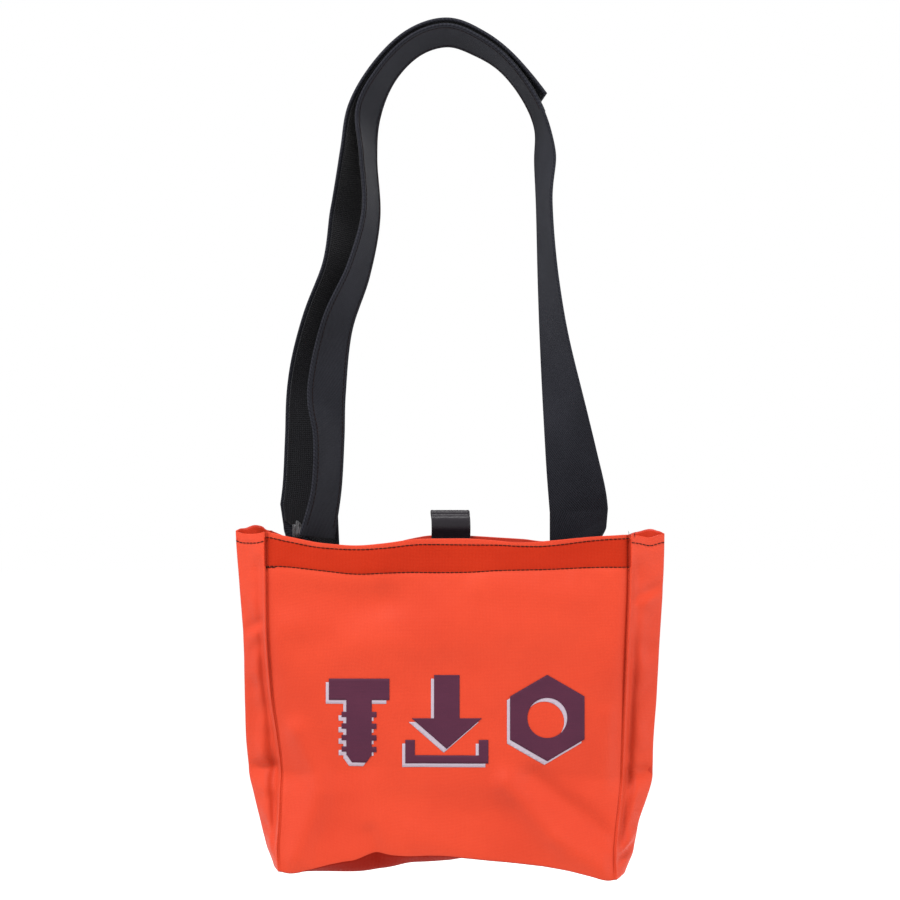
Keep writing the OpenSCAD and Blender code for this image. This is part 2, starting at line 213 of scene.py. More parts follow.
class Shader:
    """A short way to lay out a material's nodes."""

    def __init__(self, name):
        self.material = bpy.data.materials.new(name)
        self.material.use_nodes = True
        self.tree = self.material.node_tree

    def put(self, node, inputs):
        """Wires each value into its input, or sets it if it is a number, a colour or a vector."""
        for key, value in inputs.items():
            socket = node.inputs[key]
            if isinstance(value, tuple):
                socket.default_value = (*value, 1) if socket.type == "RGBA" else value
            elif isinstance(value, (int, float)):
                socket.default_value = value
            elif value is not None:
                self.tree.links.new(value, socket)

    def node(self, kind, inputs, **settings):
        made = self.tree.nodes.new(kind)
        for key, value in settings.items():
            setattr(made, key, value)
        self.put(made, inputs)
        return made

    def math(self, operation, a, b=None, c=None):
        return self.node("ShaderNodeMath", {0: a, 1: b, 2: c}, operation=operation).outputs[0]

    def weighted(self, a, share_a, b, share_b):
        """The sum of two values, each times its share."""
        return self.math("MULTIPLY_ADD", a, share_a, self.math("MULTIPLY", b, share_b))

    def coordinates(self, which, scale=(1, 1, 1), rotation=(0, 0, 0)):
        where = self.node("ShaderNodeTexCoord", {}).outputs[which]
        inputs = {"Vector": where, "Scale": scale, "Rotation": rotation}
        return self.node("ShaderNodeMapping", inputs).outputs["Vector"]

    def noise(self, vector, scale, detail, roughness=0.5):
        inputs = {"Vector": vector, "Scale": scale, "Detail": detail, "Roughness": roughness}
        return self.node("ShaderNodeTexNoise", inputs).outputs["Fac"]

    def ribs(self, vector, direction, pitch_mm, distortion=0.0):
        """Parallel ribs of a real pitch, for coordinates in metres."""
        scale = 2 * math.pi / (20 * pitch_mm * MM)
        inputs = {"Vector": vector, "Scale": scale, "Distortion": distortion}
        return self.node("ShaderNodeTexWave", inputs, bands_direction=direction).outputs["Fac"]

    def crossed(self, pitch_mm, distortion=0.0):
        """Ribs both ways, multiplied: a plain weave, or rows of dots."""
        where = self.coordinates("UV")
        across = self.ribs(where, "X", pitch_mm, distortion)
        return self.math("MULTIPLY", across, self.ribs(where, "Y", pitch_mm, distortion))

    def ramp(self, factor, *stops):
        """Colours by factor between two stops, each (place, (r, g, b))."""
        made = self.node("ShaderNodeValToRGB", {"Fac": factor})
        for element, (at, colour) in zip(made.color_ramp.elements, stops):
            element.position = at
            element.color = (*colour, 1)
        return made.outputs["Color"]

    def mix(self, factor, a, b):
        """A colour between a and b, which are this node's inputs 6 and 7."""
        return self.node("ShaderNodeMix", {0: factor, 6: a, 7: b}, data_type="RGBA").outputs[2]

    def bump(self, height, strength, distance_mm, under=None):
        inputs = {"Height": height, "Strength": strength, "Distance": distance_mm * MM, "Normal": under}
        return self.node("ShaderNodeBump", inputs).outputs["Normal"]

    def finish(self, colour, roughness, normal=None, specular=0.5, sheen=0.0, sheen_tint=(1, 1, 1)):
        self.put(self.tree.nodes["Principled BSDF"], {
            "Base Color": colour, "Roughness": roughness, "Normal": normal,
            "Specular IOR Level": specular, "Sheen Weight": sheen, "Sheen Tint": sheen_tint,
        })
        return self.material


# ---- materials

def floor_material():
    return Shader("floor_white").finish((1.0, 1.0, 1.0), 1.0, specular=0.0)


def nylon_material(name, light, deep, roughness, specular):
    """Tight plain weave, coated on the back: fine crossed threads and slight unevenness."""
    s = Shader(name)
    weave = s.crossed(0.9, 0.5)
    across = s.noise(s.coordinates("UV", (60, 1400, 1)), 1.0, 3.0, 0.6)
    upright = s.noise(s.coordinates("UV", (1400, 60, 1)), 1.0, 3.0, 0.6)
    slubs = s.math("MULTIPLY", across, upright)
    clouds = s.noise(s.coordinates("Object"), 16.0, 3.0, 0.55)
    base = s.ramp(clouds, (0.30, deep), (0.72, light))
    threads = s.mix(s.math("MULTIPLY", weave, 0.06), base, (0.9, 0.20, 0.08))
    colour = s.mix(s.math("MULTIPLY", slubs, 0.35), threads, deep)
    normal = s.bump(weave, 0.35, 0.25)
    normal = s.bump(slubs, 0.25, 0.3, normal)
    normal = s.bump(s.noise(s.coordinates("Object"), 55.0, 3.0), 0.10, 1.5, normal)
    rough = s.math("MULTIPLY_ADD", s.noise(s.coordinates("Object"), 90.0, 2.0), 0.16, roughness)
    return s.finish(colour, rough, normal, specular, 0.04, (1.0, 0.70, 0.60))


def webbing_material(name, dark, light, roughness, specular):
    """Twill webbing: diagonal ribs over fine lengthwise yarns, a little dust and wear."""
    s = Shader(name)
    twill = s.ribs(s.coordinates("UV", rotation=(0, 0, math.radians(55))), "X", 1.3, 0.8)
    yarns = s.ribs(s.coordinates("UV"), "Y", 0.8, 0.4)
    fibre = s.noise(s.coordinates("UV", (400, 2600, 1)), 1.0, 4.0, 0.65)
    clouds = s.noise(s.coordinates("Object"), 25.0, 3.0)
    weave = s.weighted(twill, 0.6, yarns, 0.4)
    grain = s.weighted(clouds, 0.30, fibre, 0.35)
    colour = s.ramp(s.math("MULTIPLY_ADD", weave, 0.35, grain), (0.25, dark), (0.80, light))
    normal = s.bump(weave, 0.85, 0.40)
    normal = s.bump(fibre, 0.35, 0.25, normal)
    rough = s.math("MULTIPLY_ADD", fibre, 0.2, roughness)
    return s.finish(colour, rough, normal, specular, 0.01, (0.75, 0.78, 0.9))


def satin_webbing_material():
    """Smooth satin-faced webbing: fine ribs across the fold and a clear sheen."""
    s = Shader("satin_webbing")
    yarns = s.ribs(s.coordinates("UV"), "Y", 0.7, 0.5)
    fibre = s.noise(s.coordinates("UV", (150, 2600, 1)), 1.0, 4.0)
    weave = s.weighted(yarns, 0.4, fibre, 0.6)
    colour = s.ramp(weave, (0.2, (0.004, 0.003, 0.005)), (0.9, (0.013, 0.010, 0.014)))
    normal = s.bump(yarns, 0.35, 0.2)
    return s.finish(colour, s.math("MULTIPLY_ADD", fibre, 0.2, 0.30), normal, 0.24, 0.02)


def tape_material(name, dark, light, pitch_mm, grain):
    """Hook or loop tape: rows of hooks or curls on a dull ground."""
    s = Shader(name)
    dots = s.crossed(pitch_mm)
    fuzz = s.noise(s.coordinates("Object"), grain, 4.0, 0.7)
    colour = s.ramp(s.weighted(dots, 0.5, fuzz, 0.5), (0.15, dark), (0.85, light))
    normal = s.bump(s.math("ADD", dots, fuzz), 0.7, 0.6)
    return s.finish(colour, 0.9, normal, 0.12, 0.08)


def thread_material(name, dark, light):
    """Twisted sewing thread."""
    s = Shader(name)
    ply = s.ribs(s.coordinates("Object", rotation=(0.4, 0.6, 0.5)), "DIAGONAL", 0.35, 1.0)
    fuzz = s.noise(s.coordinates("Object"), 2500.0, 3.0)
    colour = s.ramp(s.weighted(ply, 0.5, fuzz, 0.5), (0.2, dark), (0.9, light))
    return s.finish(colour, s.math("MULTIPLY_ADD", fuzz, 0.2, 0.55), s.bump(ply, 0.4, 0.15), 0.08)


def film_material(name, base, worn, roughness, specular):
    """Heat-pressed print film: the weave shows through and it is rubbed in places."""
    s = Shader(name)
    weave = s.crossed(0.9, 0.5)
    lines = s.noise(s.coordinates("UV", (60, 1500, 1)), 1.0, 4.0, 0.65)
    clouds = s.noise(s.coordinates("Object"), 40.0, 3.0)
    rubbed = s.math("MULTIPLY", s.math("MULTIPLY", lines, clouds), 0.9)
    colour = s.mix(rubbed, base, worn)
    normal = s.bump(weave, 0.25, 0.2)
    normal = s.bump(lines, 0.25, 0.25, normal)
    return s.finish(colour, s.math("MULTIPLY_ADD", lines, 0.25, roughness), normal, specular)


ORANGE = nylon_material("orange_nylon", (0.405, 0.0300, 0.0085), (0.37, 0.0235, 0.0062), 0.52, 0.16)
# Partly painted shade: the hem bands are doubled cloth, and they are coloured darker still where the
# front's and back's bands face down between their rows of stitches and on the inner face of the gussets'
# hems.
ORANGE_HEM_PAINTED_SHADE = nylon_material("orange_nylon_hem_painted_shade",
                            (0.285, 0.0120, 0.0012), (0.250, 0.0085, 0.0006), 0.56, 0.06)
# Painted shade: the bottom's outside is the same cloth, coloured much darker because it faces down.
ORANGE_UNDERSIDE_PAINTED_SHADE = nylon_material("orange_nylon_underside_painted_shade",
                              (0.150, 0.0020, 0.0004), (0.125, 0.0016, 0.0003), 0.60, 0.01)
ORANGE_INSIDE = nylon_material("orange_nylon_coated_side",
                               (0.34, 0.0175, 0.0055), (0.30, 0.0140, 0.0040), 0.45, 0.16)
WEBBING = webbing_material("belt_webbing", (0.0020, 0.0020, 0.0032), (0.0200, 0.0205, 0.0265), 0.66, 0.05)
SATIN = satin_webbing_material()
HOOK_TAPE = tape_material("hook_tape", (0.002, 0.002, 0.003), (0.010, 0.010, 0.012), 1.3, 1600.0)
LOOP_TAPE = tape_material("loop_tape", (0.005, 0.005, 0.007), (0.016, 0.016, 0.019), 2.0, 2600.0)
THREAD = thread_material("black_thread", (0.003, 0.001, 0.001), (0.014, 0.004, 0.003))
FRAY = thread_material("frayed_fibre", (0.05, 0.05, 0.055), (0.24, 0.238, 0.245))
PLUM = film_material("print_plum", (0.038, 0.0080, 0.0215), (0.076, 0.015, 0.033), 0.5, 0.12)
PRINT_GREY = film_material("print_grey", (0.27, 0.23, 0.275), (0.34, 0.26, 0.30), 0.45, 0.2)


# ---- pouch shape
# A height h runs up the walls from the bottom fold (0) to the mouth (H_TOP). It follows the cloth: the
# two rows of hem stitches lie on H_LOWER and H_UPPER, and the gussets' soft crease on H_KINK.

H_KINK = 58
H_LOWER = 187
H_UPPER = 204.5
H_TOP = 208
H_GUSSET_HEM = 202
H_GUSSET_RISE = 150     # above it the gussets' mouths take their own line
MOUTH_HALF = 115
LEAF_ROUND = 49         # a gusset's width round its crease

HEIGHTS = spans((0, 24), (H_KINK, 52), (H_LOWER, 7), (H_UPPER, 3), (H_TOP, 0))
FRONT_S = spans((-1, 7), (-0.975, 3), (-0.94, 80), (0.94, 3), (0.975, 7), (1, 0))
LEAF_W = spans((0, 2), (0.06, 8), (0.5, 8), (0.94, 2), (1, 0))

# h; depth at the seams; depth at the middle; left and right seam; left and right gusset crease.
WALL_ROWS = [
    (0, 49, 42.5, 106.5, 103.4, 111, 110.5),
    (12, 45, 42, 107.9, 103.2, 116.2, 116.3),
    (30, 38.5, 40.5, 107.3, 105.2, 121.4, 120.2),
    (46, 31.5, 39, 107.2, 107.6, 125.8, 126.4),
    (H_KINK, 25.5, 37.5, 107.0, 109.2, 129.1, 130.2),
    (79, 28, 36, 109.2, 109.8, 130.8, 130.4),
    (105, 30.8, 34.4, 113.0, 110.7, 131.4, 132.3),
    (140, 33.8, 33, 115.6, 112, 131.9, 134.0),
    (178, 28.6, 28.5, 116.8, 113.9, 135.1, 136.6),
    (H_TOP, 23, 24, 117.6, 114.5, 137.6, 137.8),
]
KINK_ROW = 4

# x; heights of the mouth's edge and of the two rows of hem stitches on the front.
FRONT_MOUTH_ROWS = [
    (-117, 211.2, 207.9, 189.5),
    (-104, 208.6, 205.3, 189.3),
    (-84, 204.6, 201.5, 187.2),
    (-60, 202.7, 200.0, 184.7),
    (-41, 204.2, 201.0, 185.3),
    (-23, 206.6, 203.0, 185.8),
    (-12, 207.0, 203.3, 185.6),
    (13, 207.0, 203.0, 185.9),
    (29, 205.8, 202.9, 186.9),
    (44, 204.6, 202.2, 187.3),
    (61, 205.6, 202.3, 187.7),
    (92, 208.3, 205.7, 188.9),
    (115, 209.4, 207.0, 188.9),
]

# x; height of the mouth's edge on the back.
BACK_MOUTH_ROWS = [
    (-117, 211.5), (-104, 206.5), (-84, 202.5), (-60, 200.2), (-41, 201.4), (-29, 205.2), (-12, 208.1),
    (13, 207.8), (30, 206.8), (48, 205.7), (61, 204.3), (92, 206.8), (115, 208.6),
]

# x; height of the front's bottom fold; height of the bottom where it sags behind it.
FOLD_ROWS = [
    (-107, 1.5, 0.5), (-99, 0.2, -1.5), (-90, 1.8, -2.5), (-70, 5.8, -3.0), (-59, 7.5, -2.8),
    (-52, 10.4, -2.2), (-46, 12.2, -1.2), (-38, 10.7, 0.2), (-26, 9.8, 3.0), (-12, 10.2, 3.8),
    (0, 9.8, 4.8), (10, 8.7, 6.5), (28, 6.7, 5.5), (58, 3.6, 3.6), (73, 1.2, 2.0), (88, -2.0, 0.2),
    (98, -4.3, -1.5), (105, -3.4, -1.5),
]

# Mouth of each gusset: place from the front seam (0) over the crease (0.5) to the back seam (1); height.
GUSSET_MOUTH_ROWS = {
    -1: [(0, 211.2), (0.12, 210.0), (0.38, 209.9), (0.5, 211.4), (0.56, 212.4), (0.64, 211.7),
         (0.70, 212.5), (0.76, 213.9), (0.88, 213.3), (1, 211.5)],
    1: [(0, 209.4), (0.10, 208.8), (0.28, 207.3), (0.44, 209.3), (0.5, 209.4), (0.56, 210.6),
        (0.62, 210.2), (0.68, 211.6), (0.75, 210.9), (0.85, 209.4), (1, 208.6)],
}

# Soft folds in the front: from, to (x, z), reach across, height out of the cloth.
FRONT_FOLDS = [
    ((-96, 86), (-84, 60), 8, 4.5),
    ((-83, 47), (-96, 12), 9, 4.5),
    ((-60, 64), (-66, 30), 15, -2.6),
    ((-30, 44), (36, 36), 13, -1.8),
    ((52, 58), (102, 20), 7, -3.2),
    ((35, 55), (64, 24), 8, 4.6),
    ((72, 16), (97, 4), 9, 4.2),
    ((99, 96), (98, 54), 6, 1.6),
    ((-20, 146), (66, 158), 17, 1.5),
    ((-92, 140), (-40, 168), 12, -1.4),
    ((20, 176), (84, 172), 9, 1.2),
    ((-102, 170), (-44, 168), 14, -2.8),
    ((-50, 24), (-44, 8), 5, -2.2),
    ((-20, 20), (20, 8), 8, 1.2),
]

# Creases that run across each gusset: height, how much they climb outwards, reach, height out of the cloth.
GUSSET_CREASES = {
    -1: [(150, -8, 3.5, -2.4), (143, -8, 5, 1.6), (118, 5, 6, 1.4), (24, 10, 4, -1.6)],
    1: [(172, 10, 3, -2.0), (166, 8, 3.5, 1.6), (138, -6, 5, -1.6), (14, 8, 3, -3.6), (21, 10, 4, 2.4)],
}


def wall_at(h, side):
    """Depth at the seam and at the middle, and how far out the seam and the gusset's crease are."""
    rows = WALL_ROWS[:KINK_ROW + 1] if h < H_KINK else WALL_ROWS[KINK_ROW:]
    edge, middle, left_seam, right_seam, left_crease, right_crease = curve_at(rows, h)
    return (edge, middle, left_seam, left_crease) if side < 0 else (edge, middle, right_seam, right_crease)


def front_z(x, h):
    """Height of the front wall's cloth above the bottom fold's level."""
    edge, upper, lower = curve_at(FRONT_MOUTH_ROWS, x)
    if h > H_UPPER:
        return lerp(upper, edge, (h - H_UPPER) / (H_TOP - H_UPPER))
    if h > H_LOWER:
        return lerp(lower, upper, (h - H_LOWER) / (H_UPPER - H_LOWER))
    return lerp(curve_at(FOLD_ROWS, x)[0], lower, h / H_LOWER)


def back_z(x, h):
    return lerp(curve_at(FOLD_ROWS, x)[0] * 0.5 - 1.5, curve_at(BACK_MOUTH_ROWS, x)[0], h / H_TOP)


def fold_height(x, z):
    """How far the soft folds lift the front."""
    total = 0.0
    for (x0, z0), (x1, z1), reach, height in FRONT_FOLDS:
        dx, dz = x1 - x0, z1 - z0
        along = ((x - x0) * dx + (z - z0) * dz) / (dx * dx + dz * dz)
        along = min(max(along, 0.0), 1.0)
        gap = math.hypot(x - x0 - along * dx, z - z0 - along * dz)
        total += height * bell(gap, reach)
    return total


def hem_relief(x, h):
    """How the rows of stitches draw the cloth in, and how it puckers between them."""
    groove = -0.50 * bell(h - H_LOWER, 1.5) - 0.35 * bell(h - H_UPPER, 1.2)
    near_rows = bell(h - H_LOWER + 2, 8) + 0.6 * bell(h - H_UPPER, 3)
    return groove + 0.55 * wobble(x, 0, h * 0.3, 7, 21.0) * near_rows


def front_point(s, h):
    """The front wall: s from -1 to 1 across."""
    edge, middle, seam, _ = wall_at(h, s)
    x = s * seam
    z = front_z(x, h)
    rim = seam - abs(x)
    high = ease((h - 70) / 70)
    d = lerp(middle, edge, abs(s) ** 3)
    # Drawn in beside the seam, and a sharp groove right along it.
    d -= lerp(0.8, 3.0, high) * ease(rim) * bell(rim, 6.0)
    d -= lerp(1.0, 1.7, high) * bell(rim - 1.2, 0.7) * ease(h / 10)
    relief = fold_height(x, z) + 1.1 * wobble(x, 0, z, 36, 3.0) + 0.3 * wobble(x, 0, z, 12, 7.0)
    d += (relief + hem_relief(x, h)) * ease(rim / 10)
    return x, d, z


def back_point(s, h):
    """The back wall: s from -1 to 1 across."""
    _, _, seam, _ = wall_at(h, s)
    x = s * seam
    z = back_z(x, h)
    rim = seam - abs(x)
    relief = hem_relief(x + 300, h) + 0.9 * wobble(x, 7, z, 40, 9.0) + 0.25 * wobble(x, 7, z, 12, 4.0)
    return x, 1.6 * bell(rim - 1.3, 0.9) * ease(h / 10) - relief * ease(rim / 14), z


def gusset_swell(side, w, out, h):
    """How far a leaf stands off the flat: slack, the soft crease, small creases and the hem's groove."""
    swell = lerp(1.6, -1.4, ease((h - 20) / 60)) + 1.4 * ease((h - 120) / 50)
    swell += 1.8 * wobble(w * 30, side * 20, h, 28, 5.0)
    swell += 1.3 * wobble(w * LEAF_ROUND, side * 20, h, 11, 6.0)
    swell += 2.2 * bell(h - H_KINK + 9, 6) - 3.4 * bell(h - H_KINK - 3, 3.5)
    for level, tilt, reach, height in GUSSET_CREASES[side]:
        swell += height * bell(h - level - tilt * (out - 0.5), reach)
    return swell - 0.4 * bell(h - H_GUSSET_HEM, 1.3)


def gusset_point(side, w, h):
    """A gusset: w from 0 at the front seam, through 0.5 at the crease, to 1 at the back seam."""
    _, _, seam, crease = wall_at(h, side)
    _, fd, fz = front_point(side, h)
    _, bd, bz = back_point(side, h)
    out = 1 - abs(2 * w - 1)
    leaf = math.sin(math.pi * out)
    x = lerp(seam, crease, out)
    d = lerp(fd, bd, w)
    rim = curve_at(GUSSET_MOUTH_ROWS[side], w)[0]
    level = lerp(fz, bz, ease(w))
    level_at_mouth = lerp(front_z(side * seam, H_TOP), back_z(side * seam, H_TOP), ease(w))
    z = level + (rim - level_at_mouth) * ease((h - H_GUSSET_RISE) / (H_TOP - H_GUSSET_RISE))
    swell = gusset_swell(side, w, out, h)
    forward = 1 if w < 0.5 else -1
    x += 0.45 * swell * leaf
    d += 0.9 * swell * leaf * forward
    # The cloth tucks back just outside the front seam.
    tuck = lerp(6.6, 2.6, ease((h - 115) / 45)) * ease((h - 6) / 24) * ease((H_GUSSET_HEM - 6 - h) / 12)
    d -= tuck * bell(LEAF_ROUND * w - 4.5, 4.0) * ease(w / 0.04)
    # The rear leaf's hem leans back as a wavy lip.
    lip = ease((w - 0.5) / 0.1) * ease((1 - w) / 0.1)
    d -= 3.2 * lip * (max(h - H_GUSSET_HEM, 0.0) / (H_TOP - H_GUSSET_HEM)) ** 2
    d += 2.4 * lip * bell(h - H_GUSSET_HEM + 3, 4) * (1 + math.sin(40 * w))
    return side * x, d, z


def bottom_point(s, t):
    """The bottom wall: t from 0 at the front fold to 1 at the back fold. It sags most at lowest."""
    fx, fd, fz = front_point(s, 0)
    bx, bd, bz = back_point(s, 0)
    x = lerp(fx, bx, t)
    lowest = 0.35
    sag = curve_at(FOLD_ROWS, x)[1] - lerp(fz, bz, lowest)
    if t < lowest:
        profile = math.sin(math.pi / 2 * t / lowest)
    else:
        profile = math.cos(math.pi / 2 * (t - lowest) / (1 - lowest))
    return x, lerp(fd, bd, t), lerp(fz, bz, t) + sag * profile * (1 - abs(s) ** 6)


def wall_point(wall, across, h):
    if wall == "front":
        return front_point(across, h)
    if wall == "back":
        return back_point(across, h)
    return gusset_point(1 if wall == "right" else -1, across, h)


def pouch_columns():
    """Round the pouch: which wall each column is on, how far across it, and how far round in mm."""
    columns = [("front", s, s * MOUTH_HALF) for s in FRONT_S[:-1]]
    columns += [("right", w, MOUTH_HALF + w * LEAF_ROUND) for w in LEAF_W[:-1]]
    columns += [("back", -s, MOUTH_HALF + LEAF_ROUND + (1 + s) * MOUTH_HALF) for s in FRONT_S[:-1]]
    columns += [("left", 1 - w, 3 * MOUTH_HALF + (1 + w) * LEAF_ROUND) for w in LEAF_W[:-1]]
    return columns


# Kinds of face, and the material of each kind outside and inside. The hem bands, the bottom's outside and
# the inner face of the gussets' hems take darker colours as painted shade; in the hems they partly stand
# for the doubled cloth.
WALL, BAND, BOTTOM, GUSSET_HEM = range(4)
OUTSIDE = (ORANGE, ORANGE_HEM_PAINTED_SHADE, ORANGE_UNDERSIDE_PAINTED_SHADE, ORANGE)
INSIDE = (ORANGE_INSIDE, ORANGE_INSIDE, ORANGE_INSIDE, ORANGE_HEM_PAINTED_SHADE)
# The inner face of a gusset's hem band is painted darker as shade, partly for its doubled cloth.
GUSSET_BAND = (199, 206)        # where the inner face of a gusset's turned hem shows


def face_kind(wall, low):
    """The kind of a wall's face, by the height of its lower edge."""
    if wall in ("front", "back"):
        return BAND if H_LOWER <= low < H_UPPER else WALL
    return GUSSET_HEM if GUSSET_BAND[0] <= low < GUSSET_BAND[1] else WALL


def wall_cells(columns):
    """Faces of the four walls, their uvs and their kinds."""
    count = len(columns)
    around = [reach for _, _, reach in columns] + [3 * MOUTH_HALF + 2 * LEAF_ROUND]
    faces, uvs, kinds = [], [], []
    for row, (low, high) in enumerate(zip(HEIGHTS, HEIGHTS[1:])):
        for column in range(count):
            a = row * count + column
            b = row * count + (column + 1) % count
            faces.append((a, b, b + count, a + count))
            left, right = around[column] * MM, around[column + 1] * MM
            uvs += [(left, low * MM), (right, low * MM), (right, high * MM), (left, high * MM)]
            kinds.append(face_kind(columns[column][0], low))
    return faces, uvs, kinds


def bottom_cells(count, spots):
    """Faces of the bottom and their uvs; the points within its edge are added to spots."""
    across, deep = len(FRONT_S) - 1, len(LEAF_W) - 1
    grid = {}
    for i in range(across + 1):
        for j in range(deep + 1):
            if j == 0:
                grid[i, j] = i
            elif j == deep:
                grid[i, j] = 2 * across + deep - i
            elif i == 0:
                grid[i, j] = count - j
            elif i == across:
                grid[i, j] = across + j
            else:
                grid[i, j] = len(spots)
                spots.append(bottom_point(FRONT_S[i], LEAF_W[j]))
    faces, uvs = [], []
    for i in range(across):
        for j in range(deep):
            corners = ((i, j), (i, j + 1), (i + 1, j + 1), (i + 1, j))
            faces.append(tuple(grid[corner] for corner in corners))
            uvs += [(FRONT_S[k] * MOUTH_HALF * MM, -LEAF_W[m] * LEAF_ROUND * MM) for k, m in corners]
    return faces, uvs


def thicken_cloth(pouch, columns):
    """Rounds the shell and gives it a wall, which is thicker in the turned hems."""
    doubled = pouch.vertex_groups.new(name="doubled")
    for row, h in enumerate(HEIGHTS):
        for column, (wall, _, _) in enumerate(columns):
            hem = H_LOWER if wall in ("front", "back") else H_GUSSET_HEM
            doubled.add([row * len(columns) + column], 1.0 if h >= hem else 0.0, "REPLACE")
    refine(pouch)
    give_wall(pouch, 1.5, -1, vertex_group="doubled", thickness_vertex_group=0.4,
              material_offset=len(OUTSIDE))


def surface_of(obj):
    return BVHTree.FromPolygons([v.co for v in obj.data.vertices], [p.vertices for p in obj.data.polygons])


def build_pouch():
    """One lofted shell of cloth: walls, bottom and turned hems."""
    columns = pouch_columns()
    spots = [wall_point(wall, across, h) for h in HEIGHTS for wall, across, _ in columns]
    faces, uvs, kinds = wall_cells(columns)
    bottom_faces, bottom_uvs = bottom_cells(len(columns), spots)
    points = [place(*p) for p in spots]
    pouch = make_object("pouch_cloth", points, faces + bottom_faces, ORANGE, uvs + bottom_uvs)
    for material in OUTSIDE[1:] + INSIDE:
        pouch.data.materials.append(material)
    kinds += [BOTTOM] * len(bottom_faces)
    pouch.data.polygons.foreach_set("material_index", kinds)
    thicken_cloth(pouch, columns)
    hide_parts("front_panel", "front_hem", "bottom_panel", "back_panel", "back_hem",
                "left_gusset_front_leaf", "left_gusset_rear_leaf",
                "right_gusset_front_leaf", "right_gusset_rear_leaf")
    with_cloth(pouch)
    return surface_of(pouch)


def with_cloth(obj):
    """Bakes the piece's transform into its mesh."""
    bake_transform(obj)


# ---- threads

def tube(points, radius, sides=6):
    """Rings round a short path with blunt ends: points and faces."""
    made, faces = [], []
    last = len(points) - 1
    for i, p in enumerate(points):
        ahead = (points[min(i + 1, last)] - points[max(i - 1, 0)]).normalized()
        side = ahead.cross(Vector((0.3, 0.2, 0.9))).normalized()
        up = ahead.cross(side)
        r = radius * (0.4 if i in (0, last) else 1.0)
        for k in range(sides):
            turn = 2 * math.pi * k / sides
            made.append(p + r * (math.cos(turn) * side + math.sin(turn) * up))
    for i in range(last):
        for k in range(sides):
            a, b = i * sides + k, i * sides + (k + 1) % sides
            faces.append((a, b, b + sides, a + sides))
    faces.append(tuple(reversed(range(sides))))
    faces.append(tuple(range(last * sides, (last + 1) * sides)))
    return made, faces


def merge(name, parts, material):
    """One object from several (points, faces), each with a uv for every point if it has a third entry."""
    points, faces, uvs = [], [], []
    for some, bits, *places in parts:
        faces += [tuple(k + len(points) for k in face) for face in bits]
        uvs += [spots[k] for spots in places for face in bits for k in face]
        points += some
    return make_object(name, points, faces, material, uvs)


def lengths_along(path):
    """How far along a path each of its points is."""
    lengths = [0.0]
    for a, b in zip(path, path[1:]):
        lengths.append(lengths[-1] + (b - a).length)
    return lengths


def walk(path, normals, pitch):
    """Cuts a path into equal steps: a list of functions from 0..1 to (point, normal)."""
    lengths = lengths_along(path)

    def at(distance):
        distance = min(max(distance, 0.0), lengths[-1])
        i = 0
        while i < len(path) - 2 and lengths[i + 1] < distance:
            i += 1
        u = (distance - lengths[i]) / max(lengths[i + 1] - lengths[i], 1e-9)
        return path[i].lerp(path[i + 1], u), normals[i].lerp(normals[i + 1], u).normalized()

    count = max(1, round(lengths[-1] / (pitch * MM)))
    step = lengths[-1] / count
    return [lambda u, i=i: at((i + u) * step) for i in range(count)]


def stitches(rows, pitch=2.8, radius=0.30):
    """Single stitches along rows of (path, normals), each one a small bowed loop of thread."""
    gap = 0.02      # share of a stitch left bare at each end
    parts = []
    for path, normals in rows:
        for number, at in enumerate(walk(path, normals, pitch)):
            spots = []
            for u, lift in ((gap, -0.05), (0.22, 0.45), (0.5, 0.7), (0.78, 0.45), (1 - gap, -0.05)):
                p, n = at(u)
                spots.append(p + n * radius * MM * (lift + 0.15 * math.sin(5 * number)))
            parts.append(tube(spots, radius * MM))
    return parts


def sew(name, node, rows, *gauge):
    """Rows of stitches as one piece, which stands for a CAD node; gauge is their pitch and radius."""
    thread = merge(name, stitches(rows, *gauge), THREAD)
    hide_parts(node)
    return thread


def row_on(skin, points):
    """Drops a row of points onto the finished cloth."""
    path, normals = [], []
    for p in points:
        spot, normal, _, _ = skin.find_nearest(p)
        path.append(spot)
        normals.append(normal)
    return path, normals


def hem_row(skin, wall, start, end, h, count=150):
    """A row of stitches across a wall, laid on the finished cloth."""
    line = [place(*wall_point(wall, lerp(start, end, i / count), h)) for i in range(count + 1)]
    return row_on(skin, line)


def build_hem_threads(skin):
    """Two rows and a short tack on the front's hem and on the back's, and a row on each gusset leaf."""
    lines = ((H_LOWER, 0.995), (H_UPPER, 0.995), (H_LOWER - 0.7, -0.94))
    for wall in ("front", "back"):
        rows = [hem_row(skin, wall, -0.995, end, h) for h, end in lines]
        with_cloth(sew(f"{wall}_hem_stitches", f"{wall}_hem_stitching", rows))
    for wall in ("left", "right"):
        for leaf, low, high in (("front", 0.004, 0.492), ("rear", 0.508, 0.996)):
            name = f"{wall}_{leaf}_hem"
            row = hem_row(skin, wall, low, high, H_GUSSET_HEM, 30)
            with_cloth(sew(name + "_stitches", name + "_thread", [row]))


def build_seam_threads():
    """The seams are sewn from inside, just within the pouch's corners."""
    for wall, inward in (("front", -2.4), ("back", 2.4)):
        rows = []
        for side in (-1, 1):
            path = []
            for i in range(70):
                x, d, z = wall_point(wall, side * 0.975, lerp(5, 178, i / 69))
                path.append(place(x, d + inward, z))
            rows.append((path, [Vector((0, -inward, 0))] * len(path)))
        with_cloth(sew(f"{wall}_seam_stitches", f"{wall}_seam_thread", rows))


# ---- belt
# The CAD's rows, some moved by up to 4 mm: x and z of the layers' rear edge, then how far the inner and
# the outer layer are turned from edge-on.

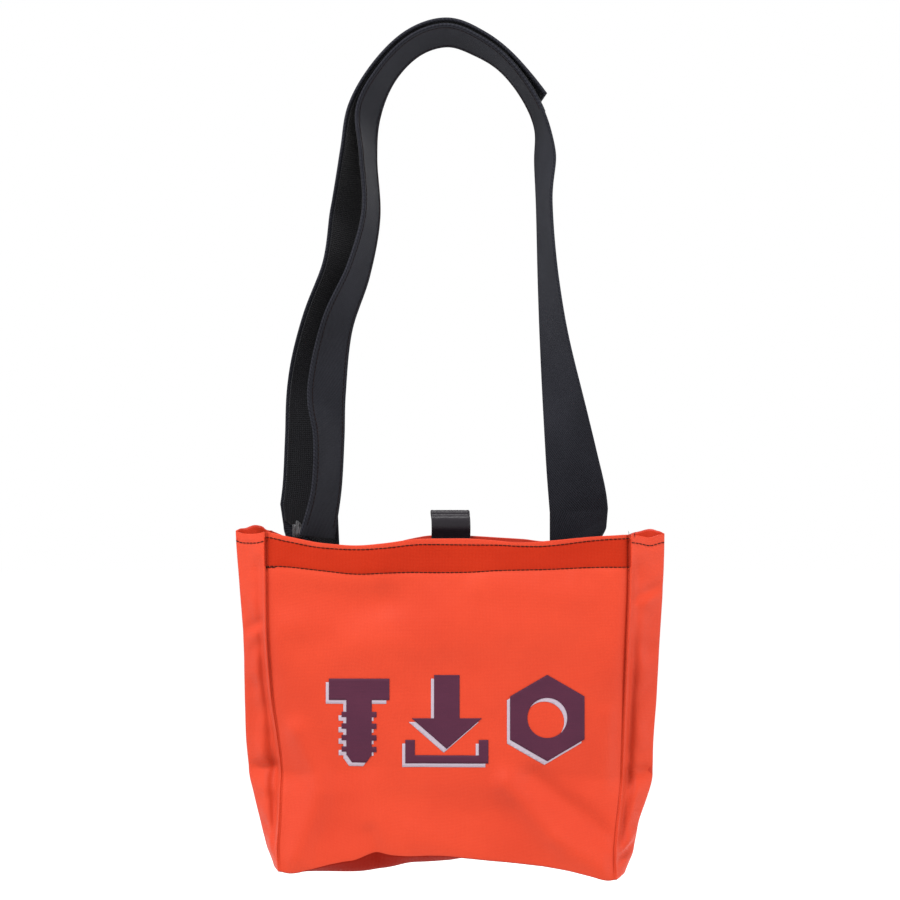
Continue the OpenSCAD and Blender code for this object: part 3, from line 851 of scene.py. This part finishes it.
LOOP_ROWS = [
    (-75.5, 205.5, 32, 88),
    (-71, 236, 26, 86),
    (-69, 270, 27, 80),
    (-68, 300, 36, 73),
    (-64, 340, 28, 50),
    (-52.6, 376, 20, 44.5),
    (-46, 414, 13.7, 47.5),
    (-48, 452, 13.5, 29),
    (-46, 478, 20.5, 23.5),
    (-37, 502, 13.6, 14.2),
    (-21, 519.5, 11, 10.8),
    (-2, 526, 10, 9.8),
    (16, 520.5, 8, 7.8),
    (33, 510, 5.2, 5.0),
    (47.3, 492, 5.4, 5.6),
    (55.6, 472, 8.2, 9.6),
    (55.4, 450, 17, 17.4),
    (56.8, 420, 11.3, 0),
    (57.9, 370, 16.5, 0),
    (59.5, 320, 30, 0),
    (62.5, 258, 58, 0),
    (65, 222, 86, 0),
]
LOOP_KNOTS = numbered(LOOP_ROWS)
LAST_ROW = len(LOOP_ROWS) - 1

# Places along the loop, counted in rows.
OUTER_START = 0.6
OUTER_END = 13
TAB_START = 13.1
TAB_END = 14.4
LIFT_START = 12.8
RING_STEP = 0.05

FOOT_CELLS = 14                 # from the outer layer's start down to the left fold
TAPE_FOOT = 9                   # how many of the rings there the hook tape covers
TAB_LIFT = 2                    # how far the tab's end stands off the inner layer
# The folds and the strands above them, left and right.
STRAND_X = {-1: 71, 1: 65}      # their inner edge
CURL = {-1: 3.5, 1: 8}          # how far the outer corner curls in
CURL_W = 16                     # the part of the width that curls


def loop_at(t):
    """A smooth row at any place along the loop."""
    return curve_at(LOOP_KNOTS, t)


def outward(t):
    """Away from the loop's middle, square to its route."""
    a, b = loop_at(max(0.0, t - 0.1)), loop_at(min(LAST_ROW, t + 0.1))
    ahead = Vector((b[0] - a[0], b[1] - a[1])).normalized()
    return Vector((-ahead.y, 0, ahead.x))


def layer_point(t, turn, across, out):
    """A point of a layer: how far from its rear edge, and how far out of its middle."""
    x, z, _, outer_turn = loop_at(t)
    rear = Vector((x, STRAND_D + LAYER_GAP * math.sin(math.radians(outer_turn)), z))
    side, front = math.sin(math.radians(turn)), math.cos(math.radians(turn))
    wide = side * outward(t) + Vector((0, front, 0))
    thick = front * outward(t) - Vector((0, side, 0))
    return place(*(rear + across * wide + out * thick))


def outer_point(t, across, out):
    lift = TAB_LIFT * (max(t - LIFT_START, 0.0) / (TAB_END - LIFT_START)) ** 2
    return layer_point(t, loop_at(t)[3], across, LAYER_GAP + lift + out)


def fold_point(side, angle, across, out):
    """The soft diagonal fold, from 0 degrees on the run to 180 on the strand."""
    turn = math.radians(angle)
    wrap = math.pi * FOLD_R / math.sqrt(2)
    r = FOLD_R - out
    along = FOLD_R * turn + across * math.sqrt(2)
    off = r * math.sin(turn)
    corner = (max(across - BELT_W + CURL_W, 0.0) / CURL_W) ** 2
    curl = CURL[side] * corner * ease((angle - 40) / 50) * lerp(1, 0.12, ease((angle - 95) / 85))
    return place(side * (STRAND_X[side] - wrap + (along + off) / math.sqrt(2) - curl),
                 RUN_D - FOLD_R + r * math.cos(turn),
                 RUN_Z + (along - off) / math.sqrt(2))


def web_outline(low, high, thickness, cells=14):
    """Outline (across, out) of woven webbing: flat faces with a slim bead along each edge."""
    width = high - low
    across = spans((0, 1), (0.3, 1), (0.9, 1), (1.5, 1), (2.2, cells), (width - 2.2, 1), (width - 1.5, 1),
                   (width - 0.9, 1), (width - 0.3, 1), (width, 0))

    def half(w):
        """Half the thickness, which narrows in two steps right at the edge."""
        rim = min(w, width - w)
        bead = 0.16 * bell(rim - 0.9, 0.5) - 0.08 * bell(rim - 2.2, 0.7)
        share = 1.0 if rim > 0.5 else 0.75 if rim > 0.1 else 0.35
        return thickness / 2 * share + bead

    top = [(low + w, half(w)) for w in across]
    return top + [(low + w, -half(w)) for w in reversed(across)]


def sweep(name, rings, outline, material, capped=(False, False)):
    """Rings are functions (across, out) -> point; the outline runs round each of them."""
    count = len(outline)
    points = [ring(w, out) for ring in rings for w, out in outline]
    middle = outline[len(outline) // 4][0]
    run = lengths_along([ring(middle, 0) for ring in rings])
    faces, uvs = [], []
    for i in range(len(rings) - 1):
        for k in range(count):
            m = (k + 1) % count
            corners = ((i, k), (i, m), (i + 1, m), (i + 1, k))
            faces.append(tuple(ring * count + spot for ring, spot in corners))
            uvs += [(run[ring], outline[spot][0] * MM) for ring, spot in corners]
    for here, wanted in zip((0, len(rings) - 1), capped):
        if wanted:
            cap = list(range(here * count, (here + 1) * count))
            if here == 0:
                cap.reverse()
            faces.append(tuple(cap))
            uvs += [(run[here], outline[k % count][0] * MM) for k in cap]
    return make_object(name, points, faces, material, uvs)


def steps(low, high):
    """Places along the loop from low to high, both kept."""
    count = math.ceil(abs(high - low) / RING_STEP)
    return [lerp(low, high, i / count) for i in range(count + 1)]


def on_inner(t):
    return lambda w, out: layer_point(t, loop_at(t)[2], w, out)


def on_outer(t):
    return lambda w, out: outer_point(t, w, out)


def on_fold(side, angle):
    return lambda w, out: fold_point(side, angle, w, -out)


def flipped(ring):
    return lambda w, out: ring(w, -out)


def between(a, b, cells):
    """Rings from a towards b, without their own ends."""
    return [lambda w, out, u=i / cells: a(w, out).lerp(b(w, out), u) for i in range(1, cells)]


def with_strands(obj):
    """Bakes the piece's transform into its mesh."""
    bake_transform(obj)


def build_belt():
    """Three lengths of webbing: the inner layer; the outer layer with both folds; the end tab."""
    outline = web_outline(0, BELT_W, BELT_T)
    inner = sweep("belt_inner", [on_inner(t) for t in steps(0, LAST_ROW)], outline, WEBBING, (True, False))
    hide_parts("belt_inner_layer")
    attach(inner, "strap")

    outer = [on_outer(t) for t in steps(OUTER_END, OUTER_START)]
    left_fold = [on_fold(-1, angle) for angle in range(180, -1, -6)]
    right_fold = [on_fold(1, angle) for angle in range(0, 181, 6)]
    joined = flipped(on_inner(LAST_ROW))
    rings = outer + between(outer[-1], left_fold[0], FOOT_CELLS) + left_fold
    rings += between(left_fold[-1], right_fold[0], 30) + right_fold
    rings += between(right_fold[-1], joined, 8) + [joined]
    run = sweep("belt_outer_and_run", rings, outline, WEBBING)
    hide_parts("belt_outer_layer", "belt_back_run")
    with_strands(run)

    end_rings = [on_outer(t) for t in steps(OUTER_END, TAB_END)]
    tab = sweep("belt_tab", end_rings, outline, WEBBING, (False, True))
    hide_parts("belt_end_tab")
    outer_point(OUTER_END, BELT_W / 2, 0)
    outer_point(TAB_START + 0.1, BELT_W / 2, 0)
    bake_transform(tab)


def build_tapes():
    """Hook tape inside the outer layer, down into its fold, and loop tape outside the inner layer."""
    edge = (BELT_W - TAPE_W) / 2
    middle = BELT_T / 2 + 0.05 + TAPE_T / 2
    strip = web_outline(edge, BELT_W - edge, TAPE_T, 10)
    foot = between(on_outer(OUTER_START), on_fold(-1, 180), FOOT_CELLS)[:TAPE_FOOT]
    outer_route = foot[::-1] + [on_outer(t) for t in steps(OUTER_START, OUTER_END)]
    inner_route = [on_inner(t) for t in steps(0.2, TAB_END + 0.4)]
    for name, route, off, material in (("hook_tape", outer_route, -middle, HOOK_TAPE),
                                       ("loop_tape", inner_route, middle, LOOP_TAPE)):
        rings = [lambda w, out, at=at, off=off: at(w, out + off) for at in route]
        tape = sweep(name + "_strip", rings, strip, material, (True, True))
        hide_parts(name)
        face = -math.copysign(BELT_T / 2, off)      # the stitches show on the layer's bare side
        margin = edge + 1.7
        lines = []
        for w in (margin, BELT_W - margin):
            path = [at(w, face) for at in route[2:-2]]
            lines.append((path, [(at(w, face * 2) - at(w, face)).normalized() for at in route[2:-2]]))
        thread = sew(name + "_stitches", name + "_stitching", lines, 2.8, 0.22)
        for piece in (tape, thread):
            if name == "hook_tape":
                with_strands(piece)
            else:
                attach(piece, "strap")


# ---- sleeve on the back

SLEEVE_HALF = 48
# Section (d, z) of the cloth tunnel's middle: flange, wall, cover, turned top.
SLEEVE_SECTION = [
    (-1.7, 152), (-1.7, 155.5), (-1.7, 158.2), (-2.3, 159.3), (-3.8, 159.6), (-5.2, 160.4), (-5.7, 163),
    (-5.8, 170), (-5.9, 180), (-5.8, 190), (-5.6, 196), (-5.2, 199.4), (-4.0, 200.8), (-2.6, 201.0),
    (-1.5, 200.2),
]


def build_sleeve():
    """A soft cloth tunnel that the belt runs through, and its two rows of stitches."""
    across = 60
    cell = 2 * SLEEVE_HALF / across
    points, faces, uvs = [], [], []
    for i in range(across + 1):
        x = lerp(-SLEEVE_HALF, SLEEVE_HALF, i / across)
        flare = 0.7 * bell(SLEEVE_HALF - abs(x), 4)
        for d, z in SLEEVE_SECTION:
            on_cover = ease((-1.8 - d) / 3)
            bulge = on_cover * (flare + 0.5 * wobble(x, 3, z, 16, 31.0))
            points.append(place(x, d - bulge, z + 0.6 * wobble(x, 5, 0, 30, 8.0)))
    count = len(SLEEVE_SECTION)
    reach = lengths_along([Vector(p) for p in SLEEVE_SECTION])
    for i in range(across):
        for j in range(count - 1):
            a = i * count + j
            faces.append((a, a + 1, a + count + 1, a + count))
            uvs += [((i + m) * cell * MM, reach[j + n] * MM) for m, n in ((0, 0), (0, 1), (1, 1), (1, 0))]
    sleeve = make_object("sleeve_cloth", points, faces, ORANGE, uvs)
    refine(sleeve)
    give_wall(sleeve, 1.0, 0)
    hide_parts("belt_sleeve")
    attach(sleeve, "pouch")
    skin = surface_of(sleeve)
    rows = [row_on(skin, [place(x, -4, z) for x in range(-SLEEVE_HALF + 2, SLEEVE_HALF - 1)])
            for z in (153.5, 156.3)]
    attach(sew("sleeve_stitches", "sleeve_stitching", rows), "pouch")


# ---- hang loop

LOOP_HALF_W = 12.5
LOOP_T = 1.4
# Side view (d, z) of the folded webbing: up the back ply, over the ridge, in at the crease, down the front.
HANG_LOOP_PATH = [
    (1.9, 187), (1.9, 200), (1.7, 208), (0.5, 213), (-0.1, 217), (0.4, 220.5), (1.6, 223), (2.9, 223.8),
    (4.1, 222.9), (4.4, 221.6), (5.2, 220.6), (6.3, 219.4), (6.8, 217), (6.5, 213), (5.0, 209.2),
    (4.0, 206), (3.8, 200), (3.8, 187),
]


def build_hang_loop():
    """One piece of satin webbing: two sewn plies that open into an eye above the mouth."""
    knots = numbered(HANG_LOOP_PATH)
    fine = 5
    centre = [curve_at(knots, i / fine) for i in range(fine * (len(knots) - 1) + 1)]
    rings = []
    for i, (d, z) in enumerate(centre):
        a, b = centre[max(i - 1, 0)], centre[min(i + 1, len(centre) - 1)]
        ahead = Vector((b[0] - a[0], b[1] - a[1])).normalized()
        skew = 0.35 * math.sin(i * 0.12)
        rings.append(lambda w, out, d=d, z=z, n=ahead, skew=skew:
                     place(w + 0.3 + skew, d - out * n.y + 0.12 * wobble(w, 0, z, 6, 2.0), z + out * n.x))
    outline = web_outline(-LOOP_HALF_W, LOOP_HALF_W, LOOP_T, 10)
    loop = sweep("hang_loop_webbing", rings, outline, SATIN, (True, True))
    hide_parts("hang_loop", "hang_loop_tail")
    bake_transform(loop)
    front_d = HANG_LOOP_PATH[-1][0] + LOOP_T / 2
    corners = [(-9.5, 201.5), (9.5, 201.5), (9.5, 189.5), (-9.5, 189.5), (-9.5, 201.5)]
    path = []
    for (x0, z0), (x1, z1) in zip(corners, corners[1:]):
        path += [place(lerp(x0, x1, i / 12), front_d, lerp(z0, z1, i / 12)) for i in range(12)]
    forward = [Vector((0, -1, 0))] * len(path)
    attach(sew("hang_loop_tack_stitches", "hang_loop_tack", [(path, forward)], 2.4), "pouch")


# ---- print

PRINT_H = 56
PRINT_Z = 67
SHADOW_SHIFT = (-1.9, -2.3)
FILM_CELL = 1.7


def box(x0, z0, x1, z1):
    return [(x0, z0), (x1, z0), (x1, z1), (x0, z1)]


def circle(z, r, sides, turn=0.0):
    angles = [turn + 2 * math.pi * i / sides for i in range(sides)]
    return [(r * math.cos(angle), z + r * math.sin(angle)) for angle in angles]


def bolt_sign():
    """A hexagon-head bolt with threads, seen from the side."""
    h = PRINT_H
    shank = [box(-19, 0.70 * h, 19, 0.94 * h), box(-8, 0.08 * h, 8, 0.70 * h),
             [(-4.5, 0), (4.5, 0), (8, 0.09 * h), (-8, 0.09 * h)]]
    threads = [box(-11, z * h, 11, (z + 0.06) * h) for z in (0.12, 0.25, 0.38, 0.51)]
    return shank + threads, []


def arrow_sign():
    """An arrow that points into an open tray."""
    h = PRINT_H
    arrow = [box(-8, 0.49 * h, 8, 0.98 * h), [(-22, 0.5 * h), (0, 0.16 * h), (22, 0.5 * h)]]
    tray = [box(-26, 0, 26, 0.09 * h), box(-26, 0, -20, 0.26 * h), box(20, 0, 26, 0.26 * h)]
    return arrow + tray, []


def nut_sign():
    """A hexagon nut."""
    return [circle(PRINT_H / 2, 27, 6, math.radians(30))], [circle(PRINT_H / 2, 12.5, 48)]


# Each sign and the x of its middle.
SIGNS = {"print_bolt": (bolt_sign, -57), "print_arrow": (arrow_sign, -2), "print_nut": (nut_sign, 61)}


def inside(point, outline):
    """Whether a point is within an outline, by the edges that a ray from it crosses."""
    x, z = point
    hit = False
    for (x0, z0), (x1, z1) in zip(outline, outline[1:] + outline[:1]):
        if (z0 > z) != (z1 > z) and x < x0 + (x1 - x0) * (z - z0) / (z1 - z0):
            hit = not hit
    return hit


def film(sign, centre_x, shift, skin, height):
    """A thin film in a sign's shape, laid on the cloth: points, faces and the flat place of each point."""
    solids, holes = sign()
    flat, edges = [], []
    for outline in solids + holes:
        dense = []
        for (x0, z0), (x1, z1) in zip(outline, outline[1:] + outline[:1]):
            cells = max(1, round(math.hypot(x1 - x0, z1 - z0) / 2))
            dense += [Vector((lerp(x0, x1, i / cells), lerp(z0, z1, i / cells))) for i in range(cells)]
        edges += [(len(flat) + i, len(flat) + (i + 1) % len(dense)) for i in range(len(dense))]
        flat += dense
    # A grid over the whole sign lets the film follow the cloth.
    flat += [Vector((x * FILM_CELL, z * FILM_CELL)) for x in range(-17, 18) for z in range(34)]
    spots, _, faces, *_ = geometry.delaunay_2d_cdt(flat, edges, [], 0, 1e-4)
    kept = []
    for face in faces:
        middle = sum((spots[k] for k in face), Vector((0, 0))) / len(face)
        if any(inside(middle, s) for s in solids) and not any(inside(middle, s) for s in holes):
            kept.append(tuple(face))
    used = sorted({k for face in kept for k in face})
    number = {k: i for i, k in enumerate(used)}
    points, places = [], []
    for k in used:
        x, z = spots[k].x + centre_x + shift[0], spots[k].y + PRINT_Z + shift[1]
        spot, normal, _, _ = skin.ray_cast(place(x, 90, z), Vector((0, 1, 0)))
        points.append(spot + normal * height * MM)
        places.append((x * MM, z * MM))
    return points, [tuple(number[k] for k in face) for face in kept], places


def make_film(name, films, material, thickness):
    """One object from several films."""
    obj = merge(name, films, material)
    give_wall(obj, thickness, -1)
    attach(obj, "front")
    return obj


def build_print(skin):
    """The three signs in plum over their own shadow in grey."""
    shadows = [film(sign, x, SHADOW_SHIFT, skin, 0.16) for sign, x in SIGNS.values()]
    shadow = make_film("print_shadow_film", shadows, PRINT_GREY, 0.10)
    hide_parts("print_shadow")
    for name, (sign, x) in SIGNS.items():
        front = make_film(name + "_film", [film(sign, x, (0, 0), skin, 0.34)], PLUM, 0.14)
        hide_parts(name)


# ---- loose ends

def build_loose_ends():
    """A tuft of frayed fibres at the belt's left fold, and clipped threads at the front's right corner."""
    dice = random.Random(5)
    parts = []
    for i in range(24):
        lean = lerp(-1, 1, i / 23)
        x, d = -99.4 + 3.0 * lean, STRAND_D + 2.4 + dice.uniform(-0.5, 0.5)
        top = 217 - 3.5 * abs(lean) + dice.uniform(-1, 1)
        sway = -0.8 * lean + dice.uniform(-0.7, 0.7)
        path = [(x, d, 205.8), (x + 0.3 * sway, d + 0.3, 209), (x + 0.7 * sway, d + 0.6, 212),
                (x + sway, d + 0.5, top), (x + sway + 0.9, d + 0.2, top - 0.3),
                (x + sway + 1.1, d - 0.2, top - 1.8)]
        parts.append(tube([place(*p) for p in path], dice.uniform(0.18, 0.30) * MM, 5))
    tuft = merge("frayed_fibres", parts, FRAY)
    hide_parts("frayed_thread_tuft")
    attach(tuft, "pouch")

    parts = []
    for x, lean, height in ((113.2, -0.5, 2.9), (114.0, 0.4, 1.8), (116.2, 0.9, 2.4), (116.9, -0.3, 1.5)):
        path = [(x, 24.6, 207.5), (x + 0.2 * lean, 24.8, 209),
                (x + 0.5 * lean, 24.9, 209 + 0.6 * height), (x + lean, 24.7, 209 + height)]
        parts.append(tube([place(*p) for p in path], 0.16 * MM, 5))
    ends = merge("clipped_threads", parts, THREAD)
    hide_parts("corner_loose_threads")
    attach(ends, "front")


def main():
    add_camera()
    add_studio()
    skin = build_pouch()
    build_hem_threads(skin)
    build_seam_threads()
    build_belt()
    build_tapes()
    build_sleeve()
    build_hang_loop()
    build_print(skin)
    build_loose_ends()


main()
